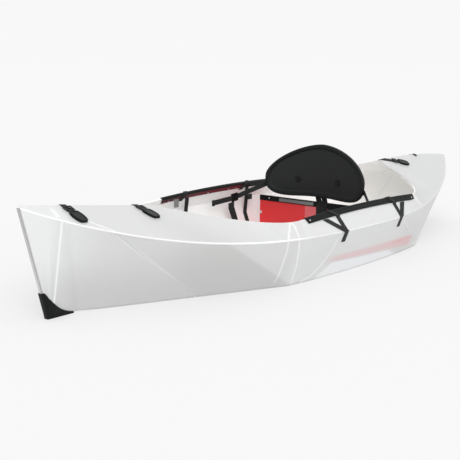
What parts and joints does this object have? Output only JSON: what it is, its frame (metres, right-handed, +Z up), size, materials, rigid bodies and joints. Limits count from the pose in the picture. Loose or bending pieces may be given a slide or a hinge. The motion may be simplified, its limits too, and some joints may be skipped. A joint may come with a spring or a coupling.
{
  "type": "folding kayak",
  "caption": "Sit-in kayak folded from one plastic sheet, with side rails, webbing loops, buckled deck straps, a bulkhead and an adjustable strapped backrest.",
  "frame": {"origin": "centre of the bounding box in plan, at the flat bottom's underside", "axes": "+Z up, -X to the bow, +X to the stern, +Y to starboard"},
  "size_m": [2.75, 0.8102, 0.44],
  "materials": {
    "hull_sheet": "translucent white twin-wall sheet, satin",
    "red_sheet": "red twin-wall sheet, satin",
    "floor_sheet": "textured board",
    "black_plastic": "satin moulded plastic",
    "grey_plastic": "satin moulded plastic",
    "webbing": "woven polyester",
    "foam": "moulded foam with a smooth skin"
  },
  "bodies": {
    "hull": {"bow_side_starboard": "hull_sheet", "bow_side_port": "hull_sheet", "bow_quarter_side_starboard": "hull_sheet", "bow_quarter_side_port": "hull_sheet", "mid_side_starboard": "hull_sheet", "mid_side_port": "hull_sheet", "stern_quarter_side_starboard": "hull_sheet", "stern_quarter_side_port": "hull_sheet", "stern_side_starboard": "hull_sheet", "stern_side_port": "hull_sheet", "bow_deck_starboard": "hull_sheet", "bow_deck_port": "hull_sheet", "gunwale_strip_starboard": "hull_sheet", "gunwale_strip_port": "hull_sheet", "stern_deck_starboard": "hull_sheet", "stern_deck_port": "hull_sheet", "hull_bottom": "hull_sheet", "rail_starboard": "black_plastic", "rail_port": "black_plastic", "bow_cap": "black_plastic", "stern_cap": "black_plastic", "rail_loop_front_starboard": "webbing", "rail_loop_front_port": "webbing", "rail_loop_rear_starboard": "webbing", "rail_loop_rear_port": "webbing", "inner_strap_front_starboard": "webbing", "inner_strap_front_port": "webbing", "inner_strap_rear_starboard": "webbing", "inner_strap_rear_port": "webbing", "arm_buckle_starboard": "black_plastic", "arm_buckle_port": "black_plastic", "arm_anchor_starboard": "webbing", "arm_anchor_port": "webbing", "floorboard": "floor_sheet", "seat_pad": "foam", "bulkhead": "red_sheet", "bulkhead_trim": "black_plastic", "support_strap_starboard": "webbing", "support_strap_port": "webbing", "bow_tip_strap": "webbing", "bow_tip_strap_socket": "black_plastic", "bow_deck_strap": "webbing", "bow_deck_strap_socket": "black_plastic", "stern_deck_strap": "webbing", "stern_deck_strap_socket": "black_plastic", "stern_tip_strap": "webbing", "stern_tip_strap_socket": "black_plastic"},
    "backrest": {"backrest_pad": "foam", "backrest_plate": "black_plastic", "backrest_button_starboard": "black_plastic", "backrest_button_port": "black_plastic"},
    "arm_port": {"arm_strap_port": "webbing"},
    "arm_starboard": {"arm_strap_starboard": "webbing"},
    "bow_tip_strap_buckle": {"bow_tip_strap_latch": "grey_plastic"},
    "bow_deck_strap_buckle": {"bow_deck_strap_latch": "grey_plastic"},
    "stern_deck_strap_buckle": {"stern_deck_strap_latch": "grey_plastic"},
    "stern_tip_strap_buckle": {"stern_tip_strap_latch": "grey_plastic"}
  },
  "joints": [
    {"name": "backrest_tilt", "type": "hinge", "parent": "hull", "child": "backrest", "pos_m": [0.1767, 0, 0.2135], "axis": [0, -1, 0], "range_deg": [0, 8]},
    {"name": "arm_slide_port", "type": "slide", "parent": "hull", "child": "arm_port", "axis": [-0.9905, 0, -0.1376], "range_m": [0, 0.0075]},
    {"name": "arm_slide_starboard", "type": "slide", "parent": "hull", "child": "arm_starboard", "axis": [-0.9905, 0, -0.1376], "range_m": [0, 0.0075]},
    {"name": "bow_tip_latch_slide", "type": "slide", "parent": "hull", "child": "bow_tip_strap_buckle", "axis": [0, 0.9147, 0.4042], "range_m": [0, 0.023]},
    {"name": "bow_deck_latch_slide", "type": "slide", "parent": "hull", "child": "bow_deck_strap_buckle", "axis": [0, 0.9496, 0.3134], "range_m": [0, 0.023]},
    {"name": "stern_deck_latch_slide", "type": "slide", "parent": "hull", "child": "stern_deck_strap_buckle", "axis": [-0.8829, 0.4223, 0.2052], "range_m": [0, 0.023]},
    {"name": "stern_tip_latch_slide", "type": "slide", "parent": "hull", "child": "stern_tip_strap_buckle", "axis": [0, -0.874, 0.4859], "range_m": [0, 0.023]}
  ],
  "couplings": [
    {"joint": "arm_slide_port", "follows": "backrest_tilt", "m_per_rad": 0.049},
    {"joint": "arm_slide_starboard", "follows": "backrest_tilt", "m_per_rad": 0.049}
  ]
}
